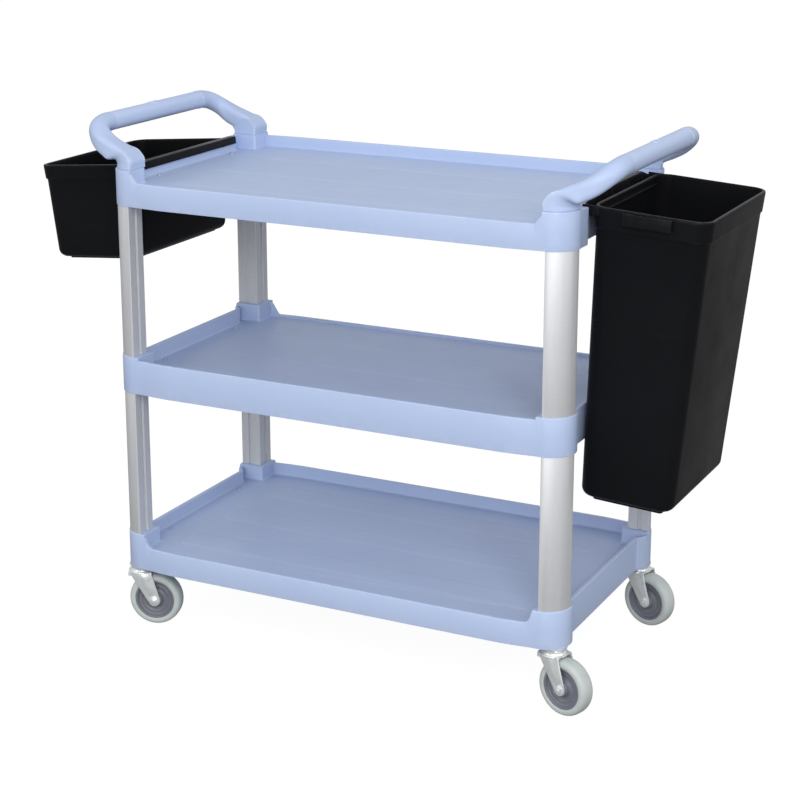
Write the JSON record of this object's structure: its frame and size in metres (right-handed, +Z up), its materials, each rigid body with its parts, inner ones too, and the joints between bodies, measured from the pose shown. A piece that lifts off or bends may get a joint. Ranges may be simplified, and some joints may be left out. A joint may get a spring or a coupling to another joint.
{
  "type": "service cart",
  "caption": "Three-shelf plastic service cart with metal corner posts, push handles at both ends, swivel casters and a large and a small hanging bin.",
  "frame": {"origin": "middle of the overall bounding box at floor level, under the cart", "axes": "+X along the cart towards the large bin, +Y across the cart away from the low front side of the top shelf, +Z up"},
  "size_m": [1.3104, 0.5, 0.9677],
  "materials": {
    "blue_plastic": "satin moulded polypropylene, light periwinkle blue",
    "aluminium": "satin anodised extrusion",
    "black_plastic": "semi-gloss moulded plastic",
    "zinc": "zinc plated",
    "wheel_core": "moulded nylon",
    "tyre": "grey non-marking elastomer"
  },
  "bodies": {
    "frame": {"top_tray": "blue_plastic", "middle_tray": "blue_plastic", "bottom_tray": "blue_plastic", "post_upper_lf": "aluminium", "post_upper_rf": "aluminium", "post_upper_lb": "aluminium", "post_upper_rb": "aluminium", "post_lower_lf": "aluminium", "post_lower_rf": "aluminium", "post_lower_lb": "aluminium", "post_lower_rb": "aluminium", "handle_left_arm_front": "blue_plastic", "handle_left_arm_back": "blue_plastic", "handle_left_core": "zinc", "handle_left_grip": "blue_plastic", "handle_right_arm_front": "blue_plastic", "handle_right_arm_back": "blue_plastic", "handle_right_core": "zinc", "handle_right_grip": "blue_plastic", "caster_lf_race": "zinc", "caster_rf_race": "zinc", "caster_lb_race": "zinc", "caster_rb_race": "zinc", "shelf_screws": "zinc"},
    "caster_lf_swivel_body": {"caster_lf_fork": "zinc", "caster_lf_axle": "zinc"},
    "caster_lf_wheel_body": {"caster_lf_core": "wheel_core", "caster_lf_tyre": "tyre"},
    "caster_rf_swivel_body": {"caster_rf_fork": "zinc", "caster_rf_axle": "zinc"},
    "caster_rf_wheel_body": {"caster_rf_core": "wheel_core", "caster_rf_tyre": "tyre"},
    "caster_lb_swivel_body": {"caster_lb_fork": "zinc", "caster_lb_axle": "zinc"},
    "caster_lb_wheel_body": {"caster_lb_core": "wheel_core", "caster_lb_tyre": "tyre"},
    "caster_rb_swivel_body": {"caster_rb_fork": "zinc", "caster_rb_axle": "zinc"},
    "caster_rb_wheel_body": {"caster_rb_core": "wheel_core", "caster_rb_tyre": "tyre"},
    "large_bin_body": {"large_bin": "black_plastic"},
    "small_bin_body": {"small_bin": "black_plastic"}
  },
  "joints": [
    {"name": "caster_lf_swivel", "type": "hinge", "parent": "frame", "child": "caster_lf_swivel_body", "pos_m": [-0.42085, -0.2128, 0.11], "axis": [0, 0, 1], "continuous": true},
    {"name": "caster_lf_roll", "type": "hinge", "parent": "caster_lf_swivel_body", "child": "caster_lf_wheel_body", "pos_m": [-0.39441, -0.20522, 0.0508], "axis": [-0.2756, 0.9613, 0], "continuous": true},
    {"name": "caster_rf_swivel", "type": "hinge", "parent": "frame", "child": "caster_rf_swivel_body", "pos_m": [0.42435, -0.2128, 0.11], "axis": [0, 0, 1], "continuous": true},
    {"name": "caster_rf_roll", "type": "hinge", "parent": "caster_rf_swivel_body", "child": "caster_rf_wheel_body", "pos_m": [0.45065, -0.22084, 0.0508], "axis": [0.2924, 0.9563, 0], "continuous": true},
    {"name": "caster_lb_swivel", "type": "hinge", "parent": "frame", "child": "caster_lb_swivel_body", "pos_m": [-0.42085, 0.2128, 0.11], "axis": [0, 0, 1], "continuous": true},
    {"name": "caster_lb_roll", "type": "hinge", "parent": "caster_lb_swivel_body", "child": "caster_lb_wheel_body", "pos_m": [-0.39369, 0.2171, 0.0508], "axis": [-0.1564, 0.9877, 0], "continuous": true},
    {"name": "caster_rb_swivel", "type": "hinge", "parent": "frame", "child": "caster_rb_swivel_body", "pos_m": [0.42435, 0.2128, 0.11], "axis": [0, 0, 1], "continuous": true},
    {"name": "caster_rb_roll", "type": "hinge", "parent": "caster_rb_swivel_body", "child": "caster_rb_wheel_body", "pos_m": [0.45092, 0.20568, 0.0508], "axis": [0.2588, 0.9659, 0], "continuous": true},
    {"name": "large_bin_lift", "type": "slide", "parent": "frame", "child": "large_bin_body", "axis": [0, 0, 1], "range_m": [0, 0.04]},
    {"name": "small_bin_lift", "type": "slide", "parent": "frame", "child": "small_bin_body", "axis": [0, 0, 1], "range_m": [0, 0.04]}
  ]
}
